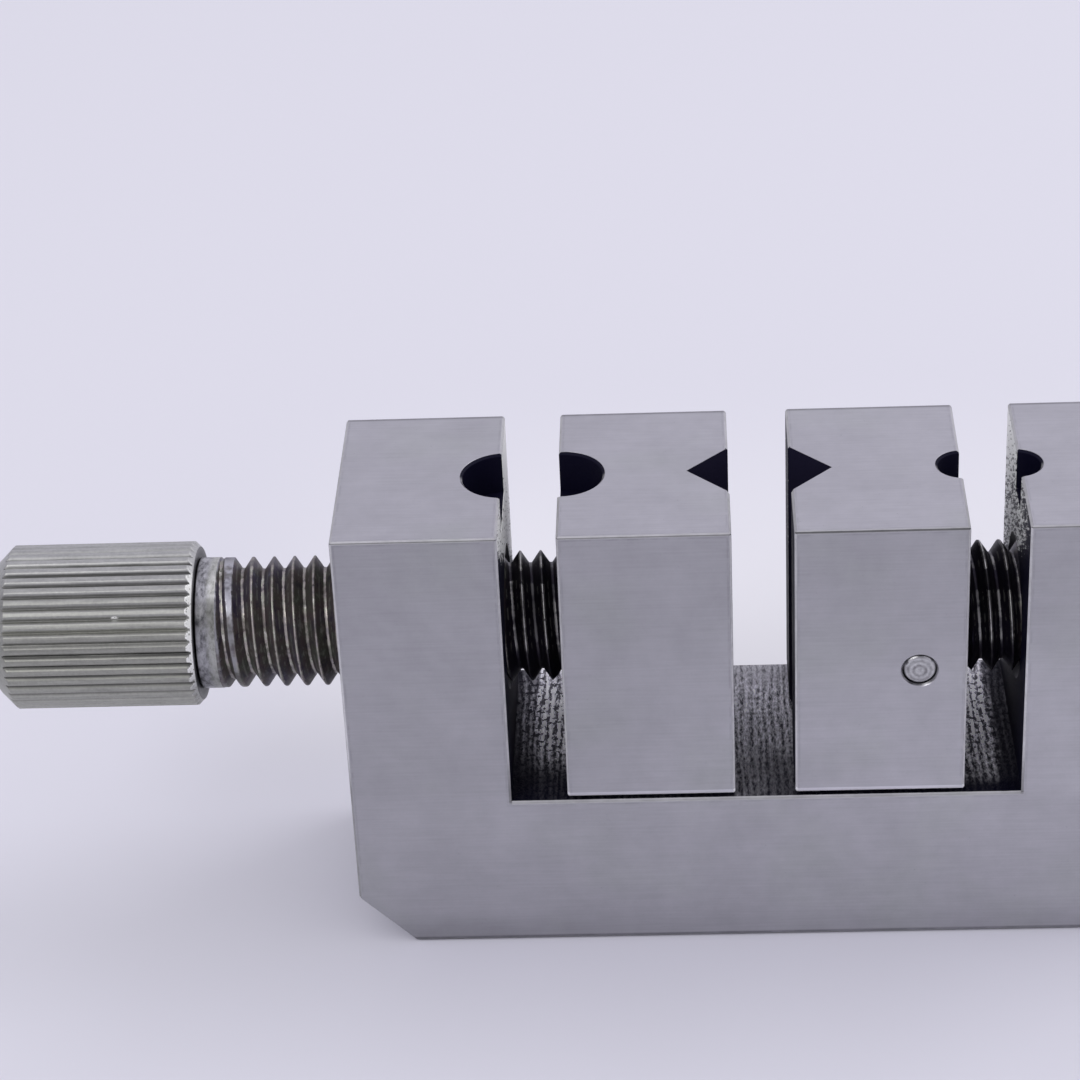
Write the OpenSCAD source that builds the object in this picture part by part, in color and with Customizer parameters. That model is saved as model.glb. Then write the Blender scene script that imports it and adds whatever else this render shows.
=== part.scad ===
// Watchmaker's screw vise with two jaws, for holding small round work.
// A ground steel block is slotted from above. One jaw slides in each half of the slot.
// A screw through each end post pulls its jaw out to the post or drives it in to the middle.
// Millimetres. Origin: middle of the block's underside. +X along the screws, +Y to the back, +Z up.

/* [Block] */
// Length of the block along the screws
block_long = 50; // [48:0.5:60]
// Depth of the block from front to back
block_deep = 14.6; // [12:0.2:20]
// Height of the block
block_high = 29; // [28:0.5:34]
// Width of the slot between the two posts
slot_wide = 30.6; // [29.6:0.2:31.6]
// Height of the slot's floor above the underside
floor_high = 10.4; // [8:0.2:12]
// Size of the 45 degree cut on the two lower end corners
foot_cut = 3.5; // [1:0.5:6]
// Size of the broken edges on the block and the jaws
edge_break = 0.15; // [0.05:0.05:0.3]

/* [Jaws] */
// Gap between each jaw and its post in the position shown
post_gap = 3.4; // [2.8:0.1:3.8]
// Gap between the two jaws in the position shown
middle_gap = 3.6; // [2.6:0.1:4.6]
// Running gap between the jaws and the slot's floor
floor_gap = 0.3; // [0.1:0.1:0.6]
// Step from the top of the posts down to the top of the jaws
jaw_step = 0; // [0:0.1:1]

/* [Seats for the work] */
// Depth of the vee seat into each jaw's inner face
vee_deep = 2.5; // [1:0.1:3]
// Width of the vee seat at the jaw's inner face
vee_wide = 5.2; // [2:0.1:7]
// Radius of the large round seats, on the left
large_seat_r = 2.5; // [1.5:0.1:3]
// How far the large round seat goes into the left post
large_seat_in_post = 2.3; // [1.6:0.1:2.6]
// How far the large round seat goes into the left jaw
large_seat_in_jaw = 2.65; // [1.6:0.05:2.8]
// Radius of the small round seats, on the right
small_seat_r = 1.5; // [1:0.1:2.5]
// How far the small round seat goes into the right post
small_seat_in_post = 1.3; // [0.8:0.1:1.8]
// How far the small round seat goes into the right jaw
small_seat_in_jaw = 1.4; // [0.8:0.1:1.8]
// Depth of the round seats below the top
seat_deep = 2.6; // [1:0.1:4]

/* [Screws] */
// Height of the screws' axis above the underside
axis_high = 19.1; // [18:0.1:20]
// Outer diameter of the screws' thread and plain neck
screw_d = 8; // [6:0.5:8.5]
// Diameter of the screws' journal in the jaws
journal_d = 6; // [4.6:0.2:6.4]
// Wall left between the journal's hole and the bottom of the vee seat
journal_wall = 1.6; // [1.2:0.1:2.2]
// Diameter left at the bottom of the journal's groove
groove_d = 4.2; // [3.4:0.2:4.4]
// Size of the lead-in at the end of the journal and at the mouth of each hole
lead_in = 0.4; // [0.1:0.1:0.6]

/* [Knobs] */
// Diameter over the knob's ribs
knob_d = 10; // [9:0.5:14]
// Length of the knob
knob_long = 12.3; // [10:0.1:16]
// Distance from the post to the knob in the position shown
knob_stand = 9; // [5:0.5:14]
// Size of the chamfer at the knob's outer end
knob_end_cut = 1; // [0.3:0.1:1.5]
// Size of the chamfer at the knob's inner end
knob_inner_cut = 0.35; // [0.1:0.05:0.8]
// Number of straight grooves cut round the knob
knurl_count = 42; // [30:1:48]
// Depth of each groove
knurl_deep = 0.25; // [0.1:0.05:0.3]
// Width of each groove at the knob's surface
knurl_wide = 0.5; // [0.2:0.05:0.5]
// Diameter of the screw's shank inside the knob
shank_d = 5; // [3:0.5:6]
// Length of the screw's shank inside the knob
shank_long = 9; // [6:0.5:9.5]

/* [Retaining pins] */
// Diameter of the retaining pins
pin_d = 2; // [1.5:0.1:2.4]
// Height of the pin's axis above the screw's axis
pin_rise = 0.2; // [0:0.1:0.3]
// Size of the chamfer on the pin's ends and round its hole
pin_chamfer = 0.12; // [0.05:0.01:0.2]

/* [Clearances] */
// Radial running clearance of the screws in the posts
screw_slip = 0.05; // [0.02:0.01:0.1]
// Radial running clearance of the journals in the jaws
journal_slip = 0.05; // [0.02:0.01:0.1]
// Gap between the screw's shoulder and the jaw
shoulder_gap = 0.05; // [0.02:0.01:0.1]
// Gap between the retaining pin and the groove, on each side and at its end
groove_gap = 0.1; // [0.05:0.01:0.2]
// Gap between the end of the journal and the bottom of its hole
journal_end_gap = 0.4; // [0.2:0.1:0.8]
// Radial gap round the retaining pin in its hole
pin_slip = 0.01; // [0.01:0.01:0.03]
// Gap between the end of the shank and the bottom of the knob's hole
shank_end_gap = 0.3; // [0.1:0.1:1]

/* [Hidden] */
$fn = 96;

// How far a cutter runs past the face it opens
past = 1;
// Half of the block's size along X and Y, and half of the slot's width
half_long = block_long / 2;
half_deep = block_deep / 2;
half_slot = slot_wide / 2;
// Top, bottom and sides of the right-hand jaw; the left-hand jaw is the same, turned round
jaw_top = block_high - jaw_step;
jaw_bottom = floor_high + floor_gap;
jaw_outer = half_slot - post_gap;
jaw_inner = middle_gap / 2;
// Depth of the journal's hole in the jaw, and the journal that turns in it
journal_hole_long = jaw_outer - jaw_inner - vee_deep - journal_wall;
journal_long = journal_hole_long - journal_end_gap;
// Where the screw's shoulder and the knob's inner face stand, measured from the middle
shoulder_at = jaw_outer + shoulder_gap;
knob_at = half_long + knob_stand;
// The retaining pin's place, half the journal's length in from the jaw's outer face
pin_at = jaw_outer - journal_long / 2;
groove_at = shoulder_at - pin_at;
groove_half = pin_d / 2 + groove_gap;
// The journal's end is eased by no more than half of the collar beyond the groove
journal_ease = min(lead_in, (journal_long - groove_at - groove_half) / 2);
// The pin's inner end stands clear of the groove's bottom
pin_tip = groove_d / 2 + groove_gap;
// Colours of ground steel, turned steel and the knobs' satin steel
ground_steel = [0.58, 0.58, 0.63];
turned_steel = [0.34, 0.33, 0.36];
satin_steel = [0.60, 0.61, 0.58];
pin_steel = [0.66, 0.66, 0.70];

// A rectangle with its four corners cut at 45 degrees
module eased_rectangle(low, high, cut) {
    polygon([[low.x + cut, low.y], [high.x - cut, low.y], [high.x, low.y + cut], [high.x, high.y - cut],
             [high.x - cut, high.y], [low.x + cut, high.y], [low.x, high.y - cut], [low.x, low.y + cut]]);
}

// Stands an outline drawn in X and Z upright and gives it a depth, centred on Y
module upright(deep) {
    translate([0, deep / 2, 0])
        rotate([90, 0, 0])
            linear_extrude(deep)
                children();
}

// Lays the Z axis of its children along +X, on the screws' axis
module on_axis(from) {
    translate([from, 0, axis_high])
        rotate([0, 90, 0])
            children();
}

// Draws its children on the left, as the right-hand ones turned half round the middle
module on_left() {
    rotate([0, 0, 180])
        children();
}

// A block between two corners with all its edges broken
module eased_block(low, high, cut) {
    intersection() {
        translate([0, 0, low.z])
            linear_extrude(high.z - low.z)
                eased_rectangle([low.x, low.y], [high.x, high.y], cut);
        upright(high.y - low.y)
            eased_rectangle([low.x, low.z], [high.x, high.z], cut);
        translate([low.x, 0, 0])
            rotate([90, 0, 90])
                linear_extrude(high.x - low.x)
                    eased_rectangle([low.y, low.z], [high.y, high.z], cut);
    }
}

// Breaks a straight edge that runs along Z for the given length, centred
module edge_cutter(long) {
    rotate(45)
        cube([edge_break * sqrt(2), edge_break * sqrt(2), long], center = true);
}

// A round seat cut down from the top, with its rim broken
module round_seat(centre, radius, top) {
    translate([centre, 0, top - seat_deep])
        cylinder(r = radius, h = seat_deep + past);
    translate([centre, 0, top - edge_break])
        cylinder(r1 = radius, r2 = radius + edge_break, h = edge_break);
}

// A plain hole along +X with a lead-in at its mouth
module hole_along_x(from, radius, long) {
    on_axis(from)
        cylinder(r = radius, h = long);
}

// The lead-in of a hole along X, whose mouth lies at the given place and opens towards +X
module mouth(at, radius) {
    on_axis(at - lead_in)
        cylinder(r1 = radius, r2 = radius + lead_in, h = lead_in);
}

// Outside of the block, with its cut lower corners and all long edges broken
module block_body() {
    intersection() {
        upright(block_deep)
            polygon([[-half_long + foot_cut, 0], [half_long - foot_cut, 0],
                     [half_long, foot_cut], [half_long, block_high - edge_break],
                     [half_long - edge_break, block_high], [-half_long + edge_break, block_high],
                     [-half_long, block_high - edge_break], [-half_long, foot_cut]]);
        linear_extrude(block_high)
            eased_rectangle([-half_long, -half_deep], [half_long, half_deep], edge_break);
        translate([-half_long, 0, 0])
            rotate([90, 0, 90])
                linear_extrude(block_long)
                    eased_rectangle([-half_deep, 0], [half_deep, block_high], edge_break);
    }
}

// The slot for the jaws, open at the top, the front and the back, with its edges broken
module slot_cutter() {
    slot_high = block_high - floor_high;
    translate([-half_slot, -half_deep - past, floor_high])
        cube([slot_wide, block_deep + 2 * past, slot_high + past]);
    for (side = [-1, 1]) {
        // Edges between the slot's walls and the block's top
        translate([side * half_slot, 0, block_high])
            rotate([90, 0, 0])
                edge_cutter(block_deep);
        for (face = [-1, 1])
            // Edges between the slot's walls and the block's front and back
            translate([side * half_slot, face * half_deep, floor_high + slot_high / 2])
                edge_cutter(slot_high);
    }
    for (face = [-1, 1])
        // Edges between the slot's floor and the block's front and back
        translate([0, face * half_deep, floor_high])
            rotate([0, 90, 0])
                edge_cutter(slot_wide);
}

// Holes for both screws, through the posts, with a lead-in at both ends of each
module screw_holes() {
    hole_r = screw_d / 2 + screw_slip;
    hole_along_x(-half_long - past, hole_r, block_long + 2 * past);
    for (turn = [0, 180])
        rotate([0, 0, turn]) {
            mouth(half_long, hole_r);
            mouth(-half_slot, hole_r);
        }
}

module frame() {
    color(ground_steel)
        difference() {
            block_body();
            slot_cutter();
            screw_holes();
            round_seat(-half_slot - large_seat_in_post + large_seat_r, large_seat_r, block_high);
            round_seat(half_slot + small_seat_in_post - small_seat_r, small_seat_r, block_high);
        }
}

// One jaw, drawn on the right: vee seat inside, round seat outside, blind hole for the journal
module jaw(seat_r, seat_in) {
    hole_r = journal_d / 2 + journal_slip;
    pin_hole_r = pin_d / 2 + pin_slip;
    color(ground_steel)
        difference() {
            eased_block([jaw_inner, -half_deep, jaw_bottom], [jaw_outer, half_deep, jaw_top], edge_break);
            // Vee seat over the whole height of the inner face
            translate([jaw_inner, 0, jaw_bottom - past])
                linear_extrude(jaw_top - jaw_bottom + 2 * past)
                    polygon([[0, -vee_wide / 2], [vee_deep, 0], [0, vee_wide / 2], [-past, vee_wide / 2],
                             [-past, -vee_wide / 2]]);
            round_seat(jaw_outer - seat_in + seat_r, seat_r, jaw_top);
            hole_along_x(jaw_outer - journal_hole_long, hole_r, journal_hole_long + past);
            mouth(jaw_outer, hole_r);
            // Hole for the retaining pin, from the front face into the journal's hole
            translate([pin_at, 0, axis_high + pin_rise])
                rotate([90, 0, 0]) {
                    cylinder(r = pin_hole_r, h = half_deep + past);
                    translate([0, 0, half_deep - pin_chamfer])
                        cylinder(r1 = pin_hole_r, r2 = pin_hole_r + pin_chamfer, h = pin_chamfer);
                }
        }
}

module left_jaw() {
    on_left()
        jaw(large_seat_r, large_seat_in_jaw);
}

module right_jaw() {
    jaw(small_seat_r, small_seat_in_jaw);
}

// One screw, drawn on the right: grooved journal, threaded length with its plain neck, shank
module screw() {
    journal_r = journal_d / 2;
    body_long = knob_at - shoulder_at;
    color(turned_steel)
        on_axis(shoulder_at)
            rotate_extrude()
                polygon([[0, -journal_long], [journal_r - journal_ease, -journal_long],
                         [journal_r, -journal_long + journal_ease],
                         [journal_r, -groove_at - groove_half], [groove_d / 2, -groove_at - groove_half],
                         [groove_d / 2, -groove_at + groove_half], [journal_r, -groove_at + groove_half],
                         [journal_r, 0], [screw_d / 2 - lead_in, 0], [screw_d / 2, lead_in],
                         [screw_d / 2, body_long], [shank_d / 2, body_long],
                         [shank_d / 2, body_long + shank_long], [0, body_long + shank_long]]);
}

module left_screw() {
    on_left()
        screw();
}

module right_screw() {
    screw();
}

// One knob, drawn on the right: a turned blank, straight grooves round it and a blind hole
module knob() {
    knob_r = knob_d / 2;
    color(satin_steel)
        on_axis(knob_at)
            difference() {
                rotate_extrude()
                    polygon([[0, 0], [knob_r - knob_inner_cut, 0], [knob_r, knob_inner_cut],
                             [knob_r, knob_long - knob_end_cut], [knob_r - knob_end_cut, knob_long],
                             [0, knob_long]]);
                for (i = [0 : knurl_count - 1])
                    rotate(i * 360 / knurl_count)
                        knurl_groove(knob_r);
                translate([0, 0, -past])
                    cylinder(d = shank_d, h = shank_long + shank_end_gap + past);
            }
}

// One straight groove of vee section, along the knob at the given radius
module knurl_groove(radius) {
    // The flanks keep their slope out to where the cutter clears the rim
    flank = knurl_wide / 2 / knurl_deep;
    clear = knurl_deep;
    translate([0, 0, -past])
        linear_extrude(knob_long + 2 * past)
            polygon([[radius - knurl_deep, 0],
                     [radius + clear, -(knurl_deep + clear) * flank],
                     [radius + clear, (knurl_deep + clear) * flank]]);
}

module left_knob() {
    on_left()
        knob();
}

module right_knob() {
    knob();
}

// One retaining pin, drawn on the right: from the jaw's front face into the journal's groove
module retaining_pin() {
    pin_long = half_deep - pin_tip;
    pin_r = pin_d / 2;
    color(pin_steel)
        translate([pin_at, -pin_tip, axis_high + pin_rise])
            rotate([90, 0, 0])
                rotate_extrude()
                    polygon([[0, 0], [pin_r - pin_chamfer, 0], [pin_r, pin_chamfer],
                             [pin_r, pin_long - pin_chamfer], [pin_r - pin_chamfer, pin_long],
                             [0, pin_long]]);
}

module left_retaining_pin() {
    on_left()
        retaining_pin();
}

module right_retaining_pin() {
    retaining_pin();
}

frame();
left_jaw();
right_jaw();
left_screw();
right_screw();
left_knob();
right_knob();
left_retaining_pin();
right_retaining_pin();
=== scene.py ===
# %% [markdown]
# # A small screw vise for watch work
#
# The vise is a ground steel block with a slot cut down from the top. Two jaws
# slide in the slot, and a screw with a ribbed knob moves each of them. The CAD
# model already holds every rigid form at its real size. This lesson adds what the
# CAD leaves out, which is the cut thread, the soft ribs of the knobs and the rings
# on the pins' ends, and then gives each part the look of its steel.
#
# Blender works in metres here. Shapes and materials are worked out in millimetres:
# a new mesh is divided by 1000, and a material multiplies each place by 1000.

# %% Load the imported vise
import math

import bmesh
import bpy
import numpy as np
from mathutils import Matrix, Vector


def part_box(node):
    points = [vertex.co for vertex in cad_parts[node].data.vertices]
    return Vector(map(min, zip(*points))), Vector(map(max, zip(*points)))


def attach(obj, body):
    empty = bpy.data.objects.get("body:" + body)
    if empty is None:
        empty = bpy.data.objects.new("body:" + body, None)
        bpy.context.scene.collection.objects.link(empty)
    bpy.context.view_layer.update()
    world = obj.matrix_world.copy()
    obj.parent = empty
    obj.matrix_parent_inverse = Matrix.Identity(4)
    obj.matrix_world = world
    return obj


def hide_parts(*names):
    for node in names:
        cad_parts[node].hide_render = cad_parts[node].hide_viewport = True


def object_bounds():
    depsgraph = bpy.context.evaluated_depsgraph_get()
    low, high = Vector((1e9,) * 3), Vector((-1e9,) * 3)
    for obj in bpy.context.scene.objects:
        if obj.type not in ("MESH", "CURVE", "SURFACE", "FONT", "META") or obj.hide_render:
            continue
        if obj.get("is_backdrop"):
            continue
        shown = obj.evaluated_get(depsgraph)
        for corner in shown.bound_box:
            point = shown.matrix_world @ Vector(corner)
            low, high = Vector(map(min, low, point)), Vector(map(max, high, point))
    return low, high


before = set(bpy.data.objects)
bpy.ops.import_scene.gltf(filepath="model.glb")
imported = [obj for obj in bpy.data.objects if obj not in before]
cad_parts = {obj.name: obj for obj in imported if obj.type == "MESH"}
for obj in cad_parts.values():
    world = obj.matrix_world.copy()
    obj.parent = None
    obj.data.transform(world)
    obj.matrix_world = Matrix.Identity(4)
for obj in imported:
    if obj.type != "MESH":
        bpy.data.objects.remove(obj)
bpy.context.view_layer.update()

# %% [markdown]
# ## Reading places from the CAD
#
# A new piece has to sit where the CAD says. Each node's box gives the places of
# the jaws, the screws and the knobs, and the few sizes that a box can't tell are
# written once below.

# %% Places along the screws, in millimetres
def node_box(name):
    """Lowest and highest corner of a CAD node in millimetres."""
    low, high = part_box(name)
    return np.array(low) * 1000, np.array(high) * 1000


block_low, block_high = node_box("frame")
knob_low, knob_high = node_box("right_knob")
jaw_low, jaw_high = node_box("right_jaw")
left_jaw_low, left_jaw_high = node_box("left_jaw")
screw_low, screw_high = node_box("right_screw")
pin_low, pin_high = node_box("right_retaining_pin")

AXIS_HIGH = (knob_low[2] + knob_high[2]) / 2  # height of the screws' axis
JAW_FACE = jaw_high[0]  # outer face of the right-hand jaw
SHOULDER = JAW_FACE + 0.05  # where the screw's shoulder stands
KNOB_FACE, KNOB_END = knob_low[0], knob_high[0]
KNOB_R = 5.0
THREAD_R, ROOT_R, PITCH = 3.96, 3.233, 1.25  # M8 thread, crest, root and pitch
JOURNAL_R, JOURNAL_END, LEAD_IN = 3.0, screw_low[0], 0.4
GROOVE_R, GROOVE_HALF = 2.1, 1.1  # the journal's groove for the pin, and half its width
SHANK_R, SHANK_END = 2.5, screw_high[0]
SLOT_HALF, SLOT_FLOOR = 15.3, 10.4  # half the slot's width, and its floor's height
PIN_X, PIN_Z, PIN_R = (pin_low[0] + pin_high[0]) / 2, (pin_low[2] + pin_high[2]) / 2, 1.0
print("axis at", round(AXIS_HIGH, 2), "shoulder at", round(SHOULDER, 2),
      "knob from", round(KNOB_FACE, 2), "to", round(KNOB_END, 2))

# %% [markdown]
# ## From a grid of points to a mesh
#
# Every new piece is a grid of points worked out with numpy. Neighbouring points
# of the grid are joined by quads. Points that fall on each other are merged,
# which closes poles and seams, and the sign of the enclosed volume tells whether
# the faces point outwards.

# %% Helpers that turn grids into one closed piece
def quads_of(rows, columns, around):
    """Index quads between neighbours of a rows x columns grid; around closes it across its columns."""
    last = columns if around else columns - 1
    row, column = np.mgrid[0:rows - 1, 0:last]
    beside = (column + 1) % columns
    return np.stack([row * columns + column, row * columns + beside,
                     (row + 1) * columns + beside, (row + 1) * columns + column], -1).reshape(-1, 4)


def enclosed_volume(points, quads):
    """Sum of the signed tetrahedra between the origin and each half of every quad."""
    a, b, c, d = (points[quads[:, i]] for i in range(4))
    return float((np.cross(a, b) * c).sum() + (np.cross(a, c) * d).sum()) / 6


def new_object(name, data):
    """An object in the scene with this mesh, lamp or camera."""
    made = bpy.data.objects.new(name, data)
    bpy.context.scene.collection.objects.link(made)
    return made


def make_piece(name, grids, corner=35, left=False):
    """One closed mesh from (grid, around, mark) triples in millimetres, smooth below the corner angle.

    The mark has one number per point and stays on the mesh as the attribute "mark". Here it tells
    the materials how deep a point lies in its groove, from 0 on a crest to 1 at the bottom. A left
    piece is turned half round the middle of the vise.
    """
    points, quads, marks, used = [], [], [], 0
    for grid, around, mark in grids:
        rows, columns = grid.shape[:2]
        points.append(grid.reshape(-1, 3))
        quads.append(quads_of(rows, columns, around) + used)
        marks.append(np.broadcast_to(mark, (rows, columns)).ravel())
        used += rows * columns
    points, quads, marks = (np.concatenate(part) for part in (points, quads, marks))
    if left:
        points = points * (-1, -1, 1)
    if enclosed_volume(points, quads) < 0:
        quads = quads[:, ::-1]
    mesh = bpy.data.meshes.new(name)
    mesh.from_pydata((points / 1000).tolist(), [], quads.tolist())
    mesh.attributes.new("mark", "FLOAT", "POINT").data.foreach_set("value", marks.astype(np.float32))
    tidy = bmesh.new()
    tidy.from_mesh(mesh)
    bmesh.ops.remove_doubles(tidy, verts=tidy.verts, dist=1e-7)
    loose = [edge for edge in tidy.edges if not edge.is_manifold]
    tidy.to_mesh(mesh)
    tidy.free()
    mesh.shade_smooth()
    mesh.set_sharp_from_angle(angle=math.radians(corner))
    print(name, len(mesh.polygons), "faces, open edges:", len(loose))
    return new_object(name, mesh)


# %% [markdown]
# ## The screws
#
# On the real vise each screw is one turned bar: a short journal that turns inside
# the jaw, a long M8 thread, a plain neck and a shank that carries the knob. A
# thread is hard to model by cutting, but easy as a surface of two parameters: one
# walks across the thread's profile, the other round and along the helix. Such a
# grid follows the crests exactly, so they stay crisp with few faces.
#
# At the jaw the thread starts behind a 45 degree lead-in. At the neck the cutter
# was drawn back while the bar still turned, so over the last turn the groove gets
# shallower and narrower, and the land beside it gets wider. That is the same
# profile, lifted outwards and held at the crest.

# %% The thread as a helical grid
TURN = 96  # steps in one turn
NECK, NECK_R = 32.75, 3.98  # where the plain neck begins, and its radius
LIFT_AT = [31.1, 31.44, 32.06, 32.36, 32.7]  # places of the groove's bottom along the last turn
LIFT = [0, 0.08, 0.24, 0.37, 0.72]  # and how far the cutter was drawn back there
ACROSS = np.array([0, 0.03, 0.055, 0.08, 0.13, 0.18, 0.23, 0.28,  # places across the profile
                   0.33, 0.38, 0.43, 0.48, 0.52, 0.545, 0.58, PITCH / 2])


def thread_radius(across):
    """Radius over one pitch, across = 0 on a crest: narrow crest, straight flanks, narrow flat root."""
    knots = [0, 0.03, 0.055, 0.08, 0.52, 0.545, 0.58, PITCH / 2]
    radii = [THREAD_R, THREAD_R - 0.003, THREAD_R - 0.02, THREAD_R - 0.055,
             ROOT_R + 0.03, ROOT_R + 0.008, ROOT_R, ROOT_R]
    return np.interp(np.abs(across), knots, radii)


def thread_grid(phase):
    """The right-hand screw's helix.

    For a turn angle t and a place s across the profile, x = start + pitch * t / 360 + s, and the
    point lies at that radius and angle round the axis. Where x leaves the thread it is held at the
    end, with the end's radius, so that those points merge into one ring.
    """
    across = np.concatenate([-ACROSS[::-1], ACROSS[1:]])
    turns = math.ceil((NECK - SHOULDER) / PITCH) + 3
    step = np.arange(turns * TURN + 1)
    first = SHOULDER - 1.5 * PITCH
    first -= (first - phase) % PITCH
    crest = first + PITCH * step[:, None] / TURN
    x = crest + across[None, :]
    bottom = crest + np.where(across < 0, -1, 1) * PITCH / 2
    r = np.minimum(thread_radius(across) + np.interp(bottom, LIFT_AT, LIFT), THREAD_R)
    r = np.minimum(r, ROOT_R + np.maximum(x - SHOULDER, 0))
    r = np.where(x >= NECK, NECK_R, np.where(x <= SHOULDER, ROOT_R, r))
    mark = np.where((x > SHOULDER) & (x < NECK), np.abs(across) / (PITCH / 2), 0)
    angle = 2 * math.pi * (step[:, None] % TURN) / TURN
    x = np.clip(x, SHOULDER, NECK)
    return np.stack([x, r * np.cos(angle), AXIS_HIGH + r * np.sin(angle)], -1), False, mark


def turned(profile):
    """Lathe surface: each (x, radius) of the profile becomes a ring round the screws' axis."""
    x, r = np.array(profile, float).T
    angle = 2 * math.pi * np.arange(TURN) / TURN
    x = np.broadcast_to(x[:, None], (len(x), TURN))
    return np.stack([x, r[:, None] * np.cos(angle), AXIS_HIGH + r[:, None] * np.sin(angle)], -1), True, 0


def screw_grids(phase):
    """Journal with its lead-in, helix, neck and shank, which share the rings where they meet."""
    journal = turned([(JOURNAL_END, 0), (JOURNAL_END, JOURNAL_R - LEAD_IN),
                      (JOURNAL_END + LEAD_IN, JOURNAL_R),
                      (PIN_X - GROOVE_HALF, JOURNAL_R), (PIN_X - GROOVE_HALF, GROOVE_R),
                      (PIN_X + GROOVE_HALF, GROOVE_R), (PIN_X + GROOVE_HALF, JOURNAL_R),
                      (SHOULDER, JOURNAL_R), (SHOULDER, ROOT_R)])
    neck = turned([(NECK, NECK_R), (NECK + 0.02, NECK_R + 0.01), (KNOB_FACE - 0.1, NECK_R + 0.01),
                   (KNOB_FACE - 0.01, NECK_R - 0.08), (KNOB_FACE - 0.01, SHANK_R),
                   (SHANK_END, SHANK_R), (SHANK_END, 0)])
    return [journal, thread_grid(phase), neck]


# The phases set where the crests lie
right_thread = make_piece("right_threaded_screw", screw_grids(0.48))
left_thread = make_piece("left_threaded_screw", screw_grids(0.34), left=True)

# %% [markdown]
# ## The knobs
#
# A knurling wheel presses straight vee grooves into the turned blank. In the CAD
# each groove is a plain cut. Here the knob's radius is a function of the place
# along it and the angle round it: the smaller of the turned outline and the
# ribbed one. Taking the smaller radius cuts the ribs off along the chamfers, as
# on the real knob, and leaves the small pointed nicks at both ends.

# %% The knob as a ribbed surface of revolution
RIBS = 42
RIB = 2 * math.pi / RIBS  # angle from one groove to the next
GROOVE = np.array([0, 0.02, 0.1, 0.19, 0.24, 0.29])  # distances from a groove's bottom line
SHARE = [1, 0.97, 0.55, 0.12, 0.02, 0]  # and the share of its depth there
HOLE = 9.3  # depth of the blind hole for the shank


def rib_profile(angle, first_groove):
    """Depth of the grooves round the knob: soft vees about 0.22 mm deep, which differ a little."""
    turn = (angle - first_groove) / RIB
    number = np.floor(turn + 0.5).astype(int) % RIBS
    off = np.abs(turn - np.floor(turn + 0.5)) * RIB * KNOB_R
    deep = 0.22 + 0.02 * np.sin(number * 2.4) + 0.01 * np.sin(number * 5.1)
    return np.interp(off, GROOVE, SHARE) * deep


def knob_grid(first_groove):
    """Rows along the knob and columns round it, at the smaller radius of outline and ribs."""
    off = np.concatenate([-GROOVE[:0:-1], GROOVE]) / KNOB_R
    angle = (first_groove + RIB * np.arange(RIBS)[:, None] + off[None, :]).ravel()
    # Rows lie close together along the chamfers at both ends, where they cut the ribs
    inner = KNOB_FACE + np.array([0, 0.05, 0.09, 0.12, 0.15, 0.18, 0.21, 0.24, 0.27, 0.3, 0.35, 0.42])
    outer = KNOB_END - 1 + np.array([-0.08, 0, 0.04, 0.08, 0.12, 0.16, 0.2, 0.24, 0.28, 0.5, 0.9, 0.96, 1.0])
    x = np.concatenate([inner, np.linspace(KNOB_FACE + 1.5, KNOB_END - 2.2, 6), outer])
    cone = np.interp(x, [KNOB_FACE, KNOB_FACE + 0.35, KNOB_END - 1, KNOB_END - 0.08, KNOB_END],
                     [KNOB_R - 0.35, KNOB_R + 0.001, KNOB_R + 0.001, KNOB_R - 0.92, KNOB_R - 1.06])
    depth = rib_profile(angle, first_groove)[None, :]
    r = np.minimum(cone[:, None], KNOB_R - depth)
    mark = np.where(r < cone[:, None], depth / 0.25, 0)
    # Three rows before these make the blind hole, and one after them the middle of the end face
    x = np.concatenate([[KNOB_FACE + HOLE, KNOB_FACE + HOLE, KNOB_FACE], x, [KNOB_END]])
    r, mark = (np.pad(rows, ((3, 1), (0, 0))) for rows in (r, mark))
    r[1:3] = SHANK_R
    x = np.broadcast_to(x[:, None], r.shape)
    return np.stack([x, r * np.cos(angle), AXIS_HIGH + r * np.sin(angle)], -1), True, mark


right_ribbed = make_piece("right_ribbed_knob", [knob_grid(math.radians(3.0))], 40)
left_ribbed = make_piece("left_ribbed_knob", [knob_grid(math.radians(2.0))], 40, left=True)

# %% [markdown]
# ## The retaining pins
#
# A pin across the jaw holds the journal. Its end is turned, which left fine rings
# and a small dimple in the middle. The profile of radius and depth is turned round
# the pin's own axis.

# %% Pins with turned rings on their ends
def pin_grid():
    """Lathe surface round the pin's axis: x and z from the radius and angle, y from the depth.

    The rim is sunk a little more at the bottom, because the end was dressed at a slant.
    """
    depth = [(0, 0.03), (0.06, 0.0), (0.13, 0.0), (0.19, 0.03), (0.26, 0.02), (0.34, 0.008), (0.41, 0.03),
             (0.49, 0.02), (0.58, 0.008), (0.66, 0.025), (0.73, 0.01), (0.8, 0.0), (0.86, 0.0), (0.92, 0.04),
             (0.985, 0.1), (0.985, pin_high[1] - pin_low[1]), (0, pin_high[1] - pin_low[1])]
    r, d = np.array(depth).T
    angle = 2 * math.pi * np.arange(48) / 48
    low_side = 0.5 - 0.5 * np.sin(angle + 0.25)
    slant = np.where(d < 1, np.clip((r - 0.72) / 0.25, 0, 1), 0)[:, None] * low_side * 0.14
    x, z = PIN_X + r[:, None] * np.cos(angle), PIN_Z + r[:, None] * np.sin(angle)
    return np.stack([x, pin_low[1] + d[:, None] + slant, z], -1), True, 0


right_pin = make_piece("right_turned_pin", [pin_grid()])
left_pin = make_piece("left_turned_pin", [pin_grid()], left=True)

# %% [markdown]
# ## Which body carries each piece
#
# A piece that stands for a CAD node moves with the body that the node is in. The
# CAD node stays behind it for the physics and is no longer shown.

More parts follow.
